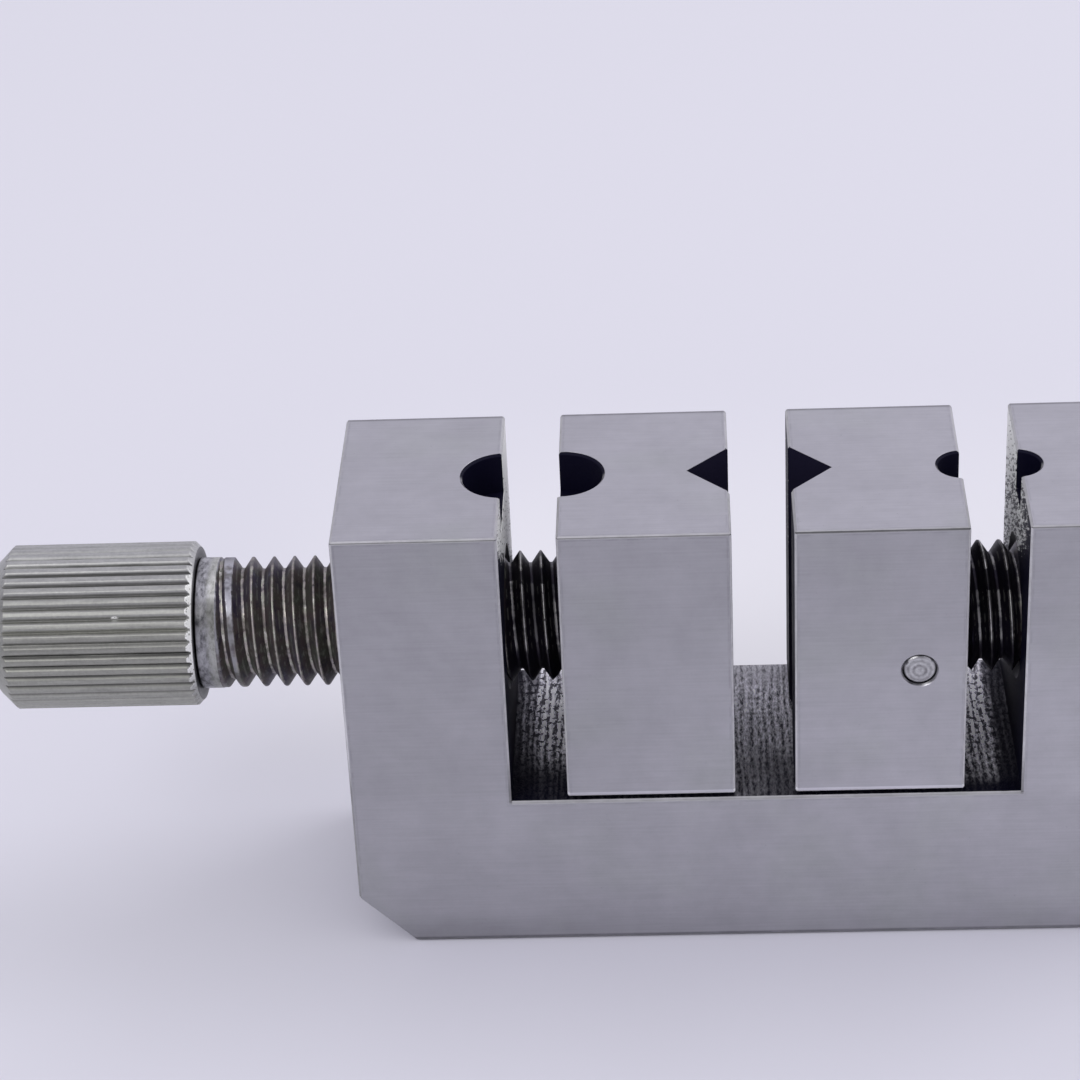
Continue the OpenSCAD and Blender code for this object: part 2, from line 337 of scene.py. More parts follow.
# %% Ride on the CAD bodies
for side, thread, knob, pin in (("left", left_thread, left_ribbed, left_pin),
                                ("right", right_thread, right_ribbed, right_pin)):
    for made, node, body, finish in ((thread, "_screw", "_screw", "screw_steel"),
                                     (knob, "_knob", "_screw", "knob_steel"),
                                     (pin, "_retaining_pin", "_jaw", "pin_steel")):
        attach(made, side + body)
        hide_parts(side + node)
        print(made.name, "stands for", side + node)

# %% [markdown]
# ## Writing materials in few lines
#
# A material is a small network of nodes. The helper below adds a node, sets its
# options and fills its inputs in order. An input is either a plain value or the
# output of an earlier node.

# %% A short way to write node networks
class Network:
    """Adds nodes to one tree. Calls give back the new node's output, split and group all its outputs."""

    def __init__(self, tree):
        self.tree = tree

    def link(self, value, socket):
        """Feeds an input from another node's output, or sets it to a plain value."""
        if isinstance(value, bpy.types.NodeSocket):
            self.tree.links.new(value, socket)
        else:
            socket.default_value = value

    def fill(self, sockets, **values):
        """Fills inputs by their names, with underscores for spaces."""
        for name, value in values.items():
            self.link(value, sockets[name.replace("_", " ")])

    def node(self, kind, *values, **options):
        made = self.tree.nodes.new(kind)
        for option, setting in options.items():
            setattr(made, option, setting)
        for socket, value in zip([s for s in made.inputs if s.enabled], values):
            self.link(value, socket)
        return [s for s in made.outputs if s.enabled][0]

    def math(self, operation, *values):
        return self.node("ShaderNodeMath", *values, operation=operation)

    def mul(self, a, b):
        return self.math("MULTIPLY", a, b)

    def add(self, a, b):
        return self.math("ADD", a, b)

    def sub(self, a, b):
        return self.math("SUBTRACT", a, b)

    def mul_add(self, value, factor, more):
        """value * factor + more"""
        return self.math("MULTIPLY_ADD", value, factor, more)

    def absolute(self, value):
        return self.math("ABSOLUTE", value)

    def most(self, a, b):
        return self.math("MAXIMUM", a, b)

    def least(self, a, b):
        return self.math("MINIMUM", a, b)

    def vector(self, operation, *values):
        made = self.node("ShaderNodeVectorMath", *values, operation=operation).node
        return made.outputs["Value" if operation in ("LENGTH", "DOT_PRODUCT") else "Vector"]

    def scaled(self, vector, factor):
        """A vector or a colour times a number."""
        made = self.vector("SCALE", vector)
        self.link(factor, made.node.inputs["Scale"])
        return made

    def distance(self, place, centre, weight):
        """Distance from a centre, with each direction counted by its weight."""
        return self.vector("LENGTH", self.vector("MULTIPLY", self.vector("SUBTRACT", place, centre), weight))

    def split(self, vector):
        return self.node("ShaderNodeSeparateXYZ", vector).node.outputs

    def ease(self, value, start, end, low=0.0, high=1.0):
        """Soft step from low at start to high at end."""
        return self.node("ShaderNodeMapRange", value, start, end, low, high, interpolation_type="SMOOTHSTEP")

    def noise(self, place, scale, detail=2.0, roughness=0.5, stretch=None):
        """Noise in space; stretch multiplies the place first, so a small factor draws it out."""
        if stretch is not None:
            place = self.vector("MULTIPLY", place, stretch)
        return self.node("ShaderNodeTexNoise", place, scale, detail, roughness)

    def mix(self, share, first, second):
        """Between two numbers."""
        return self.node("ShaderNodeMix", share, first, second)

    def blend(self, share, first, second):
        """Between two colours."""
        return self.node("ShaderNodeMix", share, first, second, data_type="RGBA")

    def tint(self, first, second):
        """One colour times the other."""
        return self.node("ShaderNodeMix", 1.0, first, second, data_type="RGBA", blend_type="MULTIPLY")

    def ramp(self, value, stops):
        """A colour ramp; a stop is a place and a colour, or a place and a grey level."""
        socket = self.node("ShaderNodeValToRGB", value)
        band = socket.node.color_ramp
        while len(band.elements) < len(stops):
            band.elements.new(0.5)
        for element, (place, colour) in zip(band.elements, stops):
            element.position = place
            element.color = (*colour, 1) if isinstance(colour, tuple) else (colour, colour, colour, 1)
        return socket

    def bump(self, strength, distance, height):
        """Raised detail for a shader's Normal input."""
        made = self.node("ShaderNodeBump", strength, distance)
        self.link(height, made.node.inputs["Height"])
        return made

    def group(self, tree, **values):
        made = self.tree.nodes.new("ShaderNodeGroup")
        made.node_tree = tree
        self.fill(made.inputs, **values)
        return made.outputs


def new_group(name, inputs, outputs):
    """A shader node group with named inputs and outputs, and a Network to fill it."""
    tree = bpy.data.node_groups.new(name, "ShaderNodeTree")
    for direction, sockets in (("INPUT", inputs), ("OUTPUT", outputs)):
        for label, kind in sockets.items():
            tree.interface.new_socket(name=label, in_out=direction, socket_type="NodeSocket" + kind)
    entry = tree.nodes.new("NodeGroupInput").outputs
    leave = tree.nodes.new("NodeGroupOutput").inputs
    return tree, Network(tree), entry, leave


def new_material(name):
    """A material, its Network, its shader's inputs, and the surface's place in millimetres."""
    material = bpy.data.materials.new(name)
    material.use_nodes = True
    net = Network(material.node_tree)
    shader = material.node_tree.nodes["Principled BSDF"].inputs
    place = material.node_tree.nodes.new("ShaderNodeTexCoord").outputs["Object"]
    millimetres = net.vector("MULTIPLY", place, (1000, 1000, 1000))
    return material, net, shader, millimetres


def dress(made, material):
    """Gives a piece this material alone."""
    made.data.materials.clear()
    made.data.materials.append(material)


print("helpers ready")

# %% [markdown]
# ## Effects that several steels share
#
# Three questions come up in the steels here. Is this point inside a box, such as
# the slot? How far is it from the edge of its part? And what does the grinding
# wheel's grain look like? Each answer is a node group, built once, and so are the
# scale, the milled floor and the distance from the screws' axis.

# %% Group: is a point inside a box
def gaps_to_box(net, entry):
    """Along X, Y and Z, the distance to the nearer side of the box from Low to High, positive inside."""
    return net.split(net.vector("MINIMUM", net.vector("SUBTRACT", entry["Place"], entry["Low"]),
                                net.vector("SUBTRACT", entry["High"], entry["Place"])))


inside_box, net, entry, leave = new_group(
    "inside_box", dict(Place="Vector", Low="Vector", High="Vector", Soft="Float"), dict(Inside="Float"))
gx, gy, gz = gaps_to_box(net, entry)
nearest = net.least(net.least(gx, gy), gz)
net.fill(leave, Inside=net.ease(nearest, 0.0, entry["Soft"]))

# %% Group: distance from the nearest edge of a box
edge_of_box, net, entry, leave = new_group(
    "edge_of_box", dict(Place="Vector", Low="Vector", High="Vector"), dict(Distance="Float"))
gx, gy, gz = gaps_to_box(net, entry)
# On a face one of the three gaps is zero, so the middle one is the distance to the nearest edge
net.fill(leave, Distance=net.most(net.least(gx, gy), net.least(net.most(gx, gy), gz)))

# %% Group: grain left by the grinding wheel
ground_grain, net, entry, leave = new_group(
    "ground_grain", dict(Place="Vector"), dict(Shade="Float", Roughness="Float", Height="Float"))
lines = net.noise(entry["Place"], 7.0, 3.0, 0.6, stretch=(0.03, 1.0, 1.0))
grain = net.noise(entry["Place"], 5.5, 4.0, 0.65)
blot = net.noise(entry["Place"], 1.1, 3.0, 0.6)
cloud = net.noise(entry["Place"], 0.28, 2.0, 0.5)
shade = net.mul(net.sub(lines, 0.5), 0.2)
for part, gain in ((grain, 0.1), (blot, 0.12), (cloud, 0.22)):
    shade = net.add(shade, net.mul(net.sub(part, 0.5), gain))
net.fill(leave, Shade=net.add(shade, 1.0), Roughness=net.mul_add(net.sub(grain, 0.5), 0.25, 0.33),
         Height=net.mul_add(lines, 0.7, net.mul(grain, 0.3)))

# %% Group: dark scale from hardening
dark_scale, net, entry, leave = new_group(
    "dark_scale", dict(Place="Vector", Bare="Float"), dict(Color="Color", Height="Float"))
# Broad streaks run along Y, as the slot was cut
streak = net.noise(entry["Place"], 1.6, 2.0, 0.6, stretch=(1.0, 0.06, 1.0))
# The specks are drawn out along Y too, and sheared so that they slant on the slot's walls
_, along, _ = net.split(entry["Place"])
slanted = net.vector("ADD", net.vector("MULTIPLY", entry["Place"], (1.0, 0.18, 1.0)),
                     net.node("ShaderNodeCombineXYZ", 0.0, 0.0, net.mul(along, 0.57)))
speck = net.noise(slanted, 4.4, 2.0, 0.75)
mixed = net.add(net.mul(streak, 0.12), net.mul(speck, 0.88))
shown = net.add(mixed, net.sub(entry["Bare"], 0.5))
colour = net.ramp(shown, [(0.4, (0.004, 0.0035, 0.015)), (0.48, (0.02, 0.019, 0.034)),
                          (0.53, (0.24, 0.24, 0.25)), (0.62, (0.88, 0.88, 0.9))])
net.fill(leave, Color=colour, Height=mixed)

# %% Group: ridges that the milling cutter left along the slot's floor
milled_floor, net, entry, leave = new_group(
    "milled_floor", dict(Place="Vector", Contrast="Float", Torn="Float"), dict(Shade="Float", Height="Float"))
wave = net.noise(entry["Place"], 1.0, 2.0, 0.5, stretch=(0.6, 0.1, 1.0))
across, _, _ = net.split(entry["Place"])
ridge = net.math("SINE", net.add(net.mul(across, 13.5), net.mul(wave, 16.0)))
crumb = net.noise(entry["Place"], 7.5, 3.0, 0.7, stretch=(1.0, 0.3, 1.0))
torn = net.noise(entry["Place"], 2.2, 2.0, 0.5, stretch=(1.0, 0.6, 1.0))
# The ridges are weaker in patches, and a torn floor has deeper ridges and dark pits
deep = net.mul_add(entry["Torn"], 0.22, net.ease(torn, 0.4, 0.6, 0.55, 0.25))
mixed = net.mul_add(net.sub(crumb, 0.5), 5.2, net.mul(ridge, deep))
pits = net.noise(entry["Place"], 2.6, 1.0, 0.5, stretch=(1.0, 0.9, 1.0))
mixed = net.sub(mixed, net.mul(net.ease(pits, 0.41, 0.37, 0.0, 1.6), entry["Torn"]))
mixed = net.add(mixed, net.sub(torn, 0.5))
net.fill(leave, Shade=net.most(net.mul_add(mixed, entry["Contrast"], 1.0), 0.12), Height=mixed)

# %% Group: distance from the screws' axis
axis_distance, net, entry, leave = new_group("axis_distance", dict(Place="Vector"), dict(Radius="Float"))
net.fill(leave, Radius=net.distance(entry["Place"], (0, 0, AXIS_HIGH), (0, 1, 1)))
print("groups:", [g.name for g in bpy.data.node_groups])

# %% [markdown]
# ## Ground steel
#
# The block and the jaws were hardened, which turned them black, and then ground
# bright on the outside only. So one material has two states: ground steel on the
# outer faces, and dark scale wherever the wheel didn't reach. A box that is a
# little smaller than the part tells them apart, and its soft border wanders with
# a noise.
#
# Each function below adds one feature. They tell a "block" from a "jaw", because
# the two have their pockets on different sides.

# %% Ground steel: light on the edges and the faces
GROUND = (0.448, 0.444, 0.466)  # colour of the ground faces


def front_edges(net, place, high, part_of, pin_side):
    """Light of the front's broken edges: half light, half dark at the top, mostly light at the sides."""
    x, _, z = net.split(place)
    half_way, low_half = (0.04, 0.26) if pin_side < 0 else (0.07, 0.42)
    top = net.ease(z, high[2] - 0.155, high[2] - 0.145)
    under_top = net.ease(z, high[2] - half_way, high[2] - half_way - 0.02, 0.96, low_half)
    side = 1.5
    if part_of == "block":
        in_slot = net.mul(net.ease(net.absolute(x), SLOT_HALF, SLOT_HALF - 0.05), net.ease(z, 10.5, 10.45))
        sill = net.ease(z, SLOT_FLOOR - 0.07, SLOT_FLOOR - 0.04, 0.76, 0.96)
        side = net.mix(in_slot, net.ease(z, 11.0, 14.0, 0.72, 1.45), sill)
    return net.mix(top, side, under_top)


def foot_light(net, place, low, part_of):
    """Light of the foot: darker on the block, most on the left, and a thin light line on a jaw."""
    x, _, z = net.split(place)
    beneath = net.add(z, -low[2])
    if part_of == "block":
        strip = net.ease(beneath, 0.38, 0.28, 1.0, 0.66)
        return net.mul(strip, net.ease(beneath, 0.6, 2.6, net.ease(x, -20.0, -4.0, 0.82, 0.91), 1.0))
    return net.ease(net.absolute(net.add(beneath, -0.25)), 0.11, 0.08, 1.0, 1.42)


def face_light(net, place, high):
    """Light of the upright faces: duller towards the top, lighter half-way up on the right."""
    mul, add, ease = net.mul, net.add, net.ease
    x, _, z = net.split(place)
    dull = mul(ease(z, 9.0, 13.0, 1.01, 0.955), ease(z, 12.0, 27.0, 1.0, 0.9))
    dull = mul(dull, add(mul(x, 0.002), 1.0))
    middle = mul(ease(z, 22.5, 18.5), ease(z, 9.5, 11.5))
    dull = mul(dull, add(mul(middle, ease(x, -12.0, 8.0, -0.02, 0.08)), 1.0))
    return net.mix(ease(z, high[2] - 0.2, high[2] - 0.1), dull, 1.0)


def pin_gap_shade(net, place, wander, high, pin_side):
    """Painted shade in the gap round the pin, thicker below."""
    _, y, z = net.split(place)
    from_pin = net.distance(place, (-pin_side * PIN_X, 0, PIN_Z), (1, 0, 1))
    shade_width = net.mul_add(net.sub(PIN_Z, z), 0.4, net.add(0.45, net.mul(wander, 1.6)))
    ring = net.mul(net.ease(from_pin, PIN_R + 0.05, PIN_R + 0.13, 1.0, 0.0), net.most(shade_width, 0.1))
    on_face = net.ease(net.mul(y, pin_side), high[1] - 0.2, high[1] - 0.1)
    return net.mul(net.mul(ring, on_face), 0.9)


# %% Ground steel: where the scale is worn off, and painted light on the slot's walls
LEFT_WALL = (-14.0, -16.0)  # along X, the scale's wear and painted light change here to those of the left post


def bare_and_lit_share(net, place, wander, pocket, part_of):
    """How bare the scale is: least in the pockets, with painted light high at the back of the walls and shade
    at the front.
    """
    mul, add, ease = net.mul, net.add, net.ease
    x, y, z = net.split(place)
    # Painted light high up at the back of the walls, whose edge runs along a slanted line
    height = add(z, mul(y, 0.6))
    lit_high_up = ease(add(height, mul(wander, 3.0)), ease(x, *LEFT_WALL, 22.3, 22.9),
                   ease(x, *LEFT_WALL, 23.5, 23.7))
    if part_of == "block":
        bare = add(mul(lit_high_up, ease(x, *LEFT_WALL, 0.29, 0.45)), 0.28)
        bare = add(bare, ease(height, 27.5, 31.0, 0.0, 0.14))
    else:
        bare = add(mul(lit_high_up, 0.1), 0.28)
    # Painted shade towards the front of the walls
    bare = net.sub(bare, mul(ease(y, -1.0, -7.0), ease(x, *LEFT_WALL[::-1], 0.03, 0.14)))
    return net.mix(pocket, bare, 0.05)


# %% Ground steel: the milled floor of the slot
FLOOR = (0.37, 0.362, 0.395)  # colour of the milled floor


def slot_floor(net, place, wander):
    """Colour and height of the floor: grey ridges, darker at the front and beside the posts."""
    mul, add, ease = net.mul, net.add, net.ease
    x, y, _ = net.split(place)
    far = net.absolute(x)
    contrast = add(ease(y, 7.0, 2.0, 0.55, 1.0), ease(far, 2.5, 6.0, 0.0, 0.55))
    torn = mul(mul(ease(far, 2.5, 6.0), ease(x, -1.0, 1.0, 1.0, 0.6)), ease(y, -6.0, 3.0, 0.45, 1.0))
    floor = net.group(milled_floor, Place=place, Contrast=contrast, Torn=torn)
    level = mul(ease(y, -7.4, 1.2, 0.4, 1.38), ease(y, 4.4, 7.3, 1.0, 0.72))
    level = mul(level, ease(net.absolute(add(y, -3.2)), 2.6, 1.0, 1.0, 1.18))
    level = mul(level, ease(far, 2.5, 6.0, 1.0, 1.7))
    # Shadow beside the posts, soft on the left and deep on the right
    ragged = add(far, mul(wander, 0.9))
    soft = mul(ease(ragged, 14.2, 13.6, 0.25, 1.0), ease(ragged, 15.2, 14.6, 0.2, 1.0))
    deep = mul(ease(ragged, 14.5, 13.6, 0.05, 1.0), ease(add(y, mul(far, 0.2)), -1.2, -3.6, 1.0, 0.5))
    level = mul(level, net.mix(ease(x, -1.0, 1.0), soft, deep))
    # Painted shade along the front, and further back under the left jaw
    painted_shade = mul(ease(far, 2.2, 3.4), ease(y, -5.4, -6.6))
    painted_shade = net.most(painted_shade, mul(ease(x, -2.2, -3.4), ease(y, -0.5, -5.2)))
    painted_shade = net.most(painted_shade, mul(ease(far, 1.76, 1.94), ease(y, -6.4, -6.9)))
    level = mul(level, net.mul_add(painted_shade, -0.93, 1.0))
    lit = net.scaled(FLOOR, mul(level, floor["Shade"]))
    return net.vector("ADD", lit, (0.0, 0.0, 0.009)), floor["Height"]


# %% Ground steel: the whole material
WIDE_RIM, SMALL_RIM = 2.64, 1.62  # half widths along Y of the vees' and seats' rims


def ground_steel(name, low, high, scale_low, scale_high, part_of, pin_side=0):
    """Ground steel for a part between low and high, dark between scale_low and scale_high.

    part_of is "block" or "jaw". pin_side is -1 or 1 for a jaw whose pin shows at the front or the
    back.
    """
    material, net, shader, place = new_material(name)
    mul, add, sub, ease = net.mul, net.add, net.sub, net.ease
    x, y, z = net.split(place)
    far = net.absolute(x)
    grain = net.group(ground_grain, Place=place)
    wander = sub(net.noise(place, 1.6, 3.0), 0.5)
    shift = net.scaled(net.node("ShaderNodeCombineXYZ", wander, wander, wander), 0.1)
    inside = net.group(inside_box, Place=net.vector("ADD", place, shift), Low=scale_low, High=scale_high,
                       Soft=0.05)["Inside"]
    edge = net.group(edge_of_box, Place=place, Low=low, High=high)["Distance"]
    if part_of == "block":
        # Outside the slot, the distance to its walls or its floor, whichever is nearer
        edge = net.least(edge, net.most(sub(far, SLOT_HALF), sub(SLOT_FLOOR, z)))
        pocket = ease(far, SLOT_HALF + 0.02, SLOT_HALF + 0.06)
        rim = mul(ease(far, SLOT_HALF + 3.0, SLOT_HALF + 2.8), pocket)
    else:
        pocket = net.group(inside_box, Place=place, Low=(low[0] + 0.02, low[1], low[2] + 0.02),
                           High=(high[0] - 0.02, high[1], high[2]), Soft=0.04)["Inside"]
        rim = 1.0

    # Each broken edge gets a painted highlight, a thin light line, with a faint
    # painted shade line beside it; both vary in patches
    line = ease(edge, 0.11, 0.16, 1.0, 0.0)
    beside = mul(ease(edge, 0.17, 0.22), ease(edge, 0.24, 0.34, 1.0, 0.0))
    edge_sheen_patches = ease(net.noise(place, 0.9, 4.0, 0.6), 0.36, 0.6)
    shade = add(grain["Shade"], mul(line, net.mul_add(edge_sheen_patches, 0.14, -0.04)))
    front = ease(y, low[1] + 0.155, low[1] + 0.145)
    shade = mul(shade, net.mix(mul(line, front), 1.0, front_edges(net, place, high, part_of, pin_side)))
    shade = mul(shade, foot_light(net, place, low, part_of))
    # The top's back edge turns away from the light
    behind = mul(ease(y, high[1] - 0.42, high[1] - 0.32), ease(z, high[2] - 0.1, high[2] - 0.02))
    shade = mul(shade, net.mul_add(behind, -0.3, 1.0))
    shade = mul(shade, face_light(net, place, high))
    shade = sub(shade, mul(beside, mul(edge_sheen_patches, 0.12)))
    # Painted shade round the pin
    if pin_side:
        shade = sub(shade, pin_gap_shade(net, place, wander, high, pin_side))
    stain = net.blend(ease(net.noise(place, 0.16, 3.0), 0.45, 0.75, 0.0, 0.6), (*GROUND, 1),
                      (GROUND[0] * 0.97, GROUND[1], GROUND[2] * 0.95, 1))
    bright = net.scaled(stain, shade)

    # Inside, the scale, and in the block the milled floor
    scale = net.group(dark_scale, Place=place, Bare=bare_and_lit_share(net, place, wander, pocket, part_of))
    dark, height, in_scale = scale["Color"], scale["Height"], 0.1
    if part_of == "block":
        floor, ridges = slot_floor(net, place, wander)
        on_floor = ease(z, SLOT_FLOOR + 0.06, SLOT_FLOOR + 0.02)
        dark = net.blend(on_floor, dark, floor)
        in_scale = net.mul_add(on_floor, 0.3, 0.1)
        height = net.mix(on_floor, height, ridges)
    else:
        # The vee is a little lighter than the round seat
        dark = net.blend(mul(pocket, ease(far, 5.0, 4.8)), dark, (0.0135, 0.012, 0.03, 1))
    # The back halves of the round seats' and the vee's rims are dark too
    reach = WIDE_RIM
    if part_of == "block":
        reach = ease(x, -1.0, 1.0, WIDE_RIM, SMALL_RIM)
    elif low[0] > 0:
        reach = ease(x, low[0] + 4.0, low[0] + 5.0, WIDE_RIM, SMALL_RIM)
    on_rim = mul(ease(sub(reach, net.absolute(y)), 0.0, 0.03),
                 mul(ease(z, high[2] - 0.31, high[2] - 0.3), ease(z, high[2] - 0.01, high[2] - 0.02)))
    inside = net.most(inside, mul(mul(on_rim, rim), ease(y, -0.6, 0.2)))
    net.fill(shader, Base_Color=net.blend(inside, bright, dark),
             Roughness=net.mix(inside, add(grain["Roughness"], mul(line, 0.12)), 0.55),
             Metallic=net.mix(inside, sub(1.0, mul(line, 0.45)), in_scale), Specular_IOR_Level=0.1,
             Normal=net.bump(0.6, 0.000004, net.mix(inside, grain["Height"], mul(height, 8.0))))
    return material


# %% Ground steel on the block and the jaws
BROKEN = 0.15  # size of the broken edges, whose light lines are painted highlights

dress(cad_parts["frame"], ground_steel(
    "ground_block", tuple(block_low), tuple(block_high),
    (block_low[0] + BROKEN, block_low[1] + BROKEN, SLOT_FLOOR - 0.1),
    tuple(block_high - BROKEN), "block"))
for side, low, high, pin_side in (("left", left_jaw_low, left_jaw_high, 1), ("right", jaw_low, jaw_high, -1)):
    # A jaw was ground on its front, its back and its top, so the scale's box is open at the other sides
    dress(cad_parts[side + "_jaw"], ground_steel(
        "ground_" + side + "_jaw", tuple(low), tuple(high),
        (low[0] - 1, low[1] + BROKEN, low[2] - 1), (high[0] + 1, high[1] - BROKEN, high[2] - BROKEN),
        "jaw", pin_side))
print("ground steel on", [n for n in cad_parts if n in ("frame", "left_jaw", "right_jaw")])

# %% [markdown]
# ## The screws' steel
#
# The crests of the thread are rubbed bright by the posts, and so are the roots in
# part; where these lines show and where they fade is painted light and shade. The
# flanks between them hold old oil and are nearly black, with painted black shade
# between the posts. The distance from the screws' axis tells the crests, and the
# mark that each point was given when the thread was made tells the roots and the
# flanks.

# %% Thread steel: where its lines are rubbed bright and where painted light shows them
def mark_of(net):
    """The piece's own mark: 0 on a crest, 1 at the bottom of a groove."""
    source = net.tree.nodes.new("ShaderNodeAttribute")
    source.attribute_name = "mark"
    return source.outputs["Fac"]


def below_axis(net, place, gain=1.0):
    """How far a point lies below the screws' axis, along a line 31 degrees forward of straight down."""
    _, y, z = net.split(place)
    return net.mul_add(z, -0.857 * gain, net.mul_add(y, -0.515 * gain, 0.857 * gain * AXIS_HIGH))


def rubbed_lines(net, place, mark, patch, moved):
    """Masks: bright lines, crests, where painted light lets the lines show, and the length between the posts.
    """
    mul, mul_add, ease = net.mul, net.mul_add, net.ease
    x, y, z = net.split(place)
    far = net.absolute(x)
    # Painted shade hides the lines at the top and the back, in a band between the posts, and low down
    lit_share = ease(y, 2.2, -0.4, 0.12, 1.0)
    band = net.absolute(net.sub(moved, ease(x, -1.0, 1.0, -2.48, -1.65)))
    band_shade = ease(net.sub(band, ease(x, -1.0, 1.0, 0.4, 0.6)), 0.1, -0.05)
    band_shade = net.most(band_shade, ease(moved, 1.7, 2.3))
    band_shade = mul(band_shade, ease(far, SLOT_HALF, SLOT_HALF - 0.1))
    lit_share = mul(lit_share, mul_add(band_shade, -0.94, 1.0))
    lit_share = mul(lit_share, ease(mul_add(patch, 2.0, z), 16.4, 17.8, 0.3, 1.0))
    # Between the posts the crests are wider and the roots get painted shade, and some turns are rubbed more
    # than others
    between = ease(far, SLOT_HALF + 0.1, SLOT_HALF - 0.1)
    radius = net.group(axis_distance, Place=place)["Radius"]
    rise = mul_add(between, 0.04, mul_add(patch, 0.16, radius))
    crest = ease(rise, 3.88, 3.915)
    root = ease(mul_add(patch, 0.4, mark), 0.845, 0.89)
    root = mul(root, mul_add(between, -0.5, 1.0))
    turn = ease(net.noise(place, 0.62, 1.0, stretch=(1.0, 0.0, 0.0)), 0.4, 0.55, 0.3, 1.0)
    turn = mul_add(between, net.sub(turn, 1.0), 1.0)
    # The lines fade and break off here and there
    faint = ease(net.noise(place, 0.75, 3.0, 0.6), 0.38, 0.54)
    bright = mul(net.most(crest, root), mul_add(faint, 0.75, 0.25))
    gaps = net.noise(place, 1.7, 3.0, 0.6, stretch=(2.0, 1.0, 1.0))
    bright = mul(bright, ease(gaps, 0.33, 0.36, 0.15, 1.0))
    bright = mul(mul(bright, lit_share), turn)
    return bright, crest, lit_share, between


# %% Thread steel: colours of the flanks, the lines and the neck
def flank_oil_and_shade(net, place, mark, patch, lit_share, between):
    """Old oil, with painted bluish black shade between the posts, and a faint line that the cutting tool left
    half-way down.
    """
    oil_and_shade = net.ramp(net.noise(place, 1.6, 4.0, 0.65, stretch=(1.6, 0.7, 0.7)),
                   [(0.34, (0.05, 0.044, 0.06)), (0.47, (0.1, 0.085, 0.088)),
                    (0.56, (0.086, 0.088, 0.078)), (0.7, (0.22, 0.21, 0.21))])
    hue = net.ramp(net.noise(place, 0.42, 2.0, 0.5),
                   [(0.36, (0.86, 0.82, 1.16)), (0.47, (1.0, 0.97, 1.02)),
                    (0.53, (1.09, 0.96, 0.95)), (0.62, (0.98, 1.05, 0.92))])
    # Painted near-black shade on the flanks between the posts
    oil_and_shade = net.blend(net.mul(between, 0.86), net.tint(oil_and_shade, hue), (0.004, 0.002, 0.014, 1))
    score = net.ease(net.absolute(net.sub(net.mul_add(patch, 0.15, mark), 0.52)), 0.09, 0.02, 0.0, 0.55)
    score = net.mul(score, net.mul(lit_share, net.ease(patch, -0.04, 0.06)))
    return net.blend(score, oil_and_shade, (0.26, 0.26, 0.24, 1))


def line_metal(net, place, far, crest, between, moved):
    """Metal of the lines, painted lighter between the posts; the wide land of the run-out is painted lighter
    above than below.
    """
    metal = net.ramp(net.noise(place, 1.3, 3.0, 0.6),
                     [(0.34, (0.27, 0.26, 0.26)), (0.46, (0.42, 0.38, 0.35)),
                      (0.58, (0.38, 0.39, 0.32)), (0.68, (0.62, 0.6, 0.55))])
    metal = net.blend(net.mul(between, 0.6), metal, (0.78, 0.78, 0.76, 1))
    land = net.mul(net.ease(far, 31.4, 31.7), crest)
    lit_above, dull = (0.5, 0.5, 0.53, 1), (0.3, 0.3, 0.31, 1)
    return net.blend(land, metal, net.blend(net.ease(moved, -1.6, 0.2), lit_above, dull))


def neck_colour(net, place, far, under):
    """A greenish light band beside the thread and mottled grey beside the knob, with painted light and shade
    in stripes round it.
    """
    mottle = net.noise(place, 2.6, 4.0, 0.7, stretch=(1.0, 0.5, 0.5))
    plain = net.ramp(mottle, [(0.36, (0.16, 0.16, 0.17)), (0.48, (0.4, 0.4, 0.41)),
                              (0.62, (0.64, 0.64, 0.65))])
    band = net.ramp(mottle, [(0.36, (0.36, 0.365, 0.33)), (0.5, (0.58, 0.59, 0.54)),
                             (0.62, (0.7, 0.7, 0.66))])
    plain = net.blend(net.ease(net.mul_add(mottle, 0.8, far), NECK + 1.05, NECK + 0.65), plain, band)
    painted_stripes = net.ramp(net.mul_add(net.mul_add(mottle, 0.9, under), 0.125, 0.45),
                    [(0.05, 0.72), (0.15, 0.76), (0.22, 1.0), (0.3, 1.0), (0.36, (0.5, 0.5, 0.49)),
                     (0.51, (0.48, 0.48, 0.47)), (0.58, (0.64, 0.64, 0.65)), (0.92, (0.6, 0.6, 0.61))])
    return net.tint(plain, painted_stripes)


# %% Thread steel: the whole material
def screw_steel():
    """Dark flanks between two bright lines per turn, and a mottled plain neck."""
    material, net, shader, place = new_material("screw_steel")
    far = net.absolute(net.split(place)[0])
    mark = mark_of(net)
    under = below_axis(net, place)
    patch = net.sub(net.noise(place, 1.5, 4.0, 0.6), 0.5)
    moved = net.mul_add(patch, 1.4, under)
    bright, crest, lit_share, between = rubbed_lines(net, place, mark, patch, moved)
    thread = net.blend(bright, flank_oil_and_shade(net, place, mark, patch, lit_share, between),
                       line_metal(net, place, far, crest, between, moved))
    on_neck = net.ease(far, NECK - 0.01, NECK + 0.02)
    smooth = net.most(bright, on_neck)
    net.fill(shader, Base_Color=net.blend(on_neck, thread, neck_colour(net, place, far, under)),
             Roughness=net.mix(smooth, 0.46, 0.38), Metallic=net.mix(smooth, 0.7, 1.0),
             Normal=net.bump(0.6, 0.00001, net.noise(place, 3.0, 4.0, 0.6, stretch=(3.0, 1.0, 1.0))))
    return material
